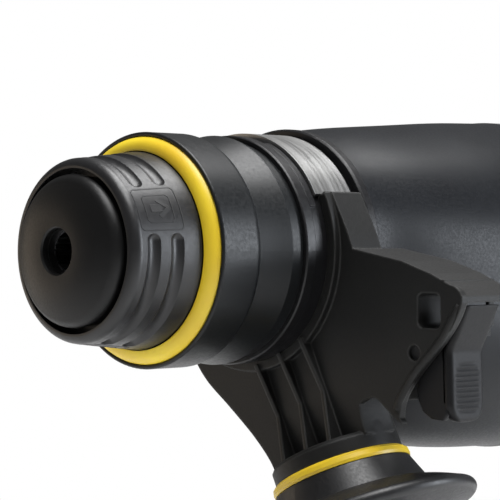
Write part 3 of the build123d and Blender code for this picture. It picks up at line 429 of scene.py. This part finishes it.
def lever_shell():
    """Bent thumb lever with a ribbed pad, as one closed skin."""
    low = Vector(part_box("depth_lock_lever")[0]) / MM
    top_z, foot_z = LEVER_TOP[1], low.z + 0.1
    bm = bmesh.new()
    front, back = [], []
    for row in range(LEVER_ROWS + 1):
        z = top_z + (foot_z - top_z) * row / LEVER_ROWS
        front_row, back_row = lever_row(bm, z, foot_z)
        front.append(front_row)
        back.append(back_row)
    for sheet in (front, back):
        for upper, lower in zip(sheet, sheet[1:]):
            for a in range(LEVER_COLUMNS):
                bm.faces.new((upper[a], upper[a + 1], lower[a + 1], lower[a]))
    for row in range(LEVER_ROWS):
        for a in (0, LEVER_COLUMNS):
            bm.faces.new((front[row][a], front[row + 1][a], back[row + 1][a], back[row][a]))
    for row in (0, LEVER_ROWS):
        for a in range(LEVER_COLUMNS):
            bm.faces.new((front[row][a], front[row][a + 1], back[row][a + 1], back[row][a]))
    return bm


def lever_rib(across, z):
    """Height of the pad's ribs and of the thin rim round them."""
    pad_top, pad_low = LEVER_PAD
    reach = LEVER_X[1] - LEVER_X[0]
    half_pad = reach * LEVER_PAD_SHARE
    if not pad_low < z < pad_top or abs(across) > half_pad:
        return 0.0
    rounding = LEVER_PAD_CORNER
    from_side = half_pad - abs(across)
    from_end = min(z - pad_low, pad_top - z)
    if from_side < rounding and from_end < rounding:
        gap = rounding - math.hypot(rounding - from_side, rounding - from_end)
    else:
        gap = min(from_side, from_end)
    if gap <= 0.0:
        return 0.0
    fade = min(1.0, gap / LEVER_PAD_FADE)
    wave = 0.5 + 0.5 * math.cos(2 * math.pi * (z - pad_top) / LEVER_RIB_PITCH)
    return -LEVER_PAD_SINK * fade + LEVER_RIB_HEIGHT * fade * wave ** 1.5


def make_lever():
    """Thumb lever with its arm and two cheeks, in place of the plain packed lever."""
    lever = add_piece("thumb_lever", lever_shell(), "lever", "depth_lock_lever")
    bm = bmesh.new()
    slab(bm, *LEVER_ARM, LEVER_ARM_BEVEL)
    add_piece("lever_arm", bm, "lever", "depth_lock_lever", smooth=False)
    for number, x in enumerate((LEVER_X[1] - CHEEK_THICK, LEVER_X[0])):
        bm = bmesh.new()
        plate(bm, CHEEK_OUTLINE, x, x + CHEEK_THICK)
        cheek = add_piece(f"lever_cheek_{number}", bm, "lever", "depth_lock_lever", smooth=False)
        soften_edges(cheek, CHEEK_BEVEL)
    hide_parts("depth_lock_lever")


def plate(bm, outline, x_rear, x_front):
    """Flat plate across the tool from its (y, z) outline, in millimetres."""
    sheets = []
    for x in (x_rear, x_front):
        sheets.append([bm.verts.new(Vector((x, y, z)) * MM) for y, z in outline])
        bm.faces.new(sheets[-1])
    for index in range(len(outline)):
        after = (index + 1) % len(outline)
        bm.faces.new((sheets[0][index], sheets[0][after], sheets[1][after], sheets[1][index]))


def soften_edges(piece, width):
    """Round a hard-edged piece by width millimetres."""
    rounding = piece.modifiers.new("rounding", "BEVEL")
    rounding.width = width * MM
    rounding.segments = 3
    rounding.limit_method = "ANGLE"
    rounding.angle_limit = math.radians(35)


def slab(bm, low, high, bevel):
    """Block between two corners in millimetres, with rounded edges."""
    made = bmesh.ops.create_cube(bm, size=1.0)
    for vertex in made["verts"]:
        place = (low[axis] + (high[axis] - low[axis]) * (vertex.co[axis] + 0.5) for axis in range(3))
        vertex.co = Vector(place) * MM
    edges = list({edge for vertex in made["verts"] for edge in vertex.link_edges})
    bmesh.ops.bevel(bm, geom=edges, offset=bevel * MM, segments=3, affect="EDGES", profile=0.5)


# ---------------------------------------------------------------- bracket trim
def smooth_path(points, steps=8):
    """Points along a Catmull-Rom curve through the given ones."""
    ends = [points[0] * 2 - points[1], *points, points[-1] * 2 - points[-2]]
    path = []
    for a, b, c, d in zip(ends, ends[1:], ends[2:], ends[3:]):
        for index in range(steps):
            t = index / steps
            square = (2 * a - 5 * b + 4 * c - d) * t ** 2
            cube = (3 * b - 3 * c + d - a) * t ** 3
            path.append(0.5 * ((2 * b) + (c - a) * t + square + cube))
    path.append(points[-1])
    return path


def bracket_lip():
    """Rounded lip along the outer edge of the bracket's front plate, thinner at both ends."""
    path = smooth_path([Vector((PLATE_X - 0.15, y, z)) for y, z in LIP_EDGE])
    bm = bmesh.new()
    rings = []
    for index, point in enumerate(path):
        before = path[max(0, index - 1)]
        after = path[min(len(path) - 1, index + 1)]
        along = (after - before).normalized()
        out = Vector((1.0, 0.0, 0.0))
        side = along.cross(out).normalized()
        taper = min(1.0, 0.35 + 0.65 * min(index, len(path) - 1 - index) / 3)
        ring = []
        for turn in range(LIP_SIDES):
            angle = 2 * math.pi * turn / LIP_SIDES
            spot = side * math.cos(angle) + out * math.sin(angle) * LIP_FLATTEN
            ring.append(bm.verts.new((point + spot * LIP_RADIUS * taper) * MM))
        rings.append(ring)
    for first, second in zip(rings, rings[1:]):
        for turn in range(LIP_SIDES):
            after = (turn + 1) % LIP_SIDES
            bm.faces.new((first[turn], first[after], second[after], second[turn]))
    bm.faces.new(rings[0])
    bm.faces.new(rings[-1])
    add_piece("bracket_lip", bm, "bracket", "side_handle")


# ---------------------------------------------------------------- stage
def add_area(name, place, target, size, power, colour=(1.0, 1.0, 1.0)):
    """Rectangular soft light, aimed at a target."""
    light = bpy.data.lights.new(name, "AREA")
    light.shape = "RECTANGLE"
    light.size, light.size_y = size
    light.energy = power
    light.color = colour
    lamp = bpy.data.objects.new(name, light)
    lamp.location = place
    lamp.rotation_euler = (Vector(target) - Vector(place)).to_track_quat("-Z", "Y").to_euler()
    bpy.context.scene.collection.objects.link(lamp)


def white_out(nodes, links, lit, output):
    """Stage only: the camera sees plain white here, and light meets the real surface."""
    seen = nodes.new("ShaderNodeEmission")
    seen.inputs["Color"].default_value = WHITE
    path = nodes.new("ShaderNodeLightPath").outputs["Is Camera Ray"]
    mix = nodes.new("ShaderNodeMixShader")
    links.new(path, mix.inputs["Fac"])
    links.new(lit, mix.inputs[1])
    links.new(seen.outputs["Emission"], mix.inputs[2])
    links.new(mix.outputs["Shader"], output.inputs["Surface"])


def set_floor():
    """Pale paper floor that the tool rests on."""
    low = Vector(cad_box[0])
    bm = bmesh.new()
    bmesh.ops.create_grid(bm, x_segments=8, y_segments=8, size=30.0)
    mesh = bpy.data.meshes.new("floor")
    bm.to_mesh(mesh)
    bm.free()
    floor = bpy.data.objects.new("floor", mesh)
    floor.location = (0, 0, low.z)
    bpy.context.scene.collection.objects.link(floor)
    material, nodes, links, shader = new_material("floor_paper")
    place = nodes.new("ShaderNodeTexCoord").outputs["Object"]
    paper = noise(nodes, links, place, 3.0)
    links.new(ramp(nodes, links, paper, 0.3, 0.7, grey(0.90), grey(0.94)), shader.inputs["Base Color"])
    shader.inputs["Roughness"].default_value = 0.9
    white_out(nodes, links, shader.outputs["BSDF"], nodes["Material Output"])
    mesh.materials.append(material)


def set_world():
    """White surround, with a little light of its own."""
    world = bpy.data.worlds.new("studio")
    bpy.context.scene.world = world
    world.use_nodes = True
    nodes, links = world.node_tree.nodes, world.node_tree.links
    lit = nodes["Background"]
    lit.inputs["Color"].default_value = WHITE
    lit.inputs["Strength"].default_value = WORLD_LIGHT
    white_out(nodes, links, lit.outputs["Background"], nodes["World Output"])


def set_lights():
    """Large light overhead, a cool one from the side and a faint warm one behind."""
    middle = (-0.06, 0.0, -0.02)
    add_area("top_softbox", (-0.15, 0.15, 0.75), middle, (0.9, 0.5), 13.5)
    add_area("side_softbox", (-0.60, 0.70, 0.08), middle, (0.30, 0.50), 5.0, (0.88, 0.93, 1.0))
    add_area("rear_glow", (0.25, -0.65, -0.05), middle, (0.5, 0.4), 0.7, (1.0, 0.82, 0.62))


def set_camera():
    """Camera at the front left of the tool, level with its axis."""
    data = bpy.data.cameras.new("camera")
    data.lens = LENS
    data.sensor_width = SENSOR
    camera = bpy.data.objects.new("camera", data)
    camera.location = CAMERA_AT
    flat = math.cos(VIEW_ELEVATION)
    look = Vector((-math.sin(VIEW_AZIMUTH) * flat, math.cos(VIEW_AZIMUTH) * flat, -math.sin(VIEW_ELEVATION)))
    camera.rotation_euler = look.to_track_quat("-Z", "Y").to_euler()
    bpy.context.scene.collection.objects.link(camera)
    bpy.context.scene.camera = camera


bpy.context.scene.view_settings.view_transform = "Standard"
set_camera()
set_floor()
set_world()
set_lights()
dress_cad_nodes()
sleeve_marks()
make_lever()
bracket_lip()
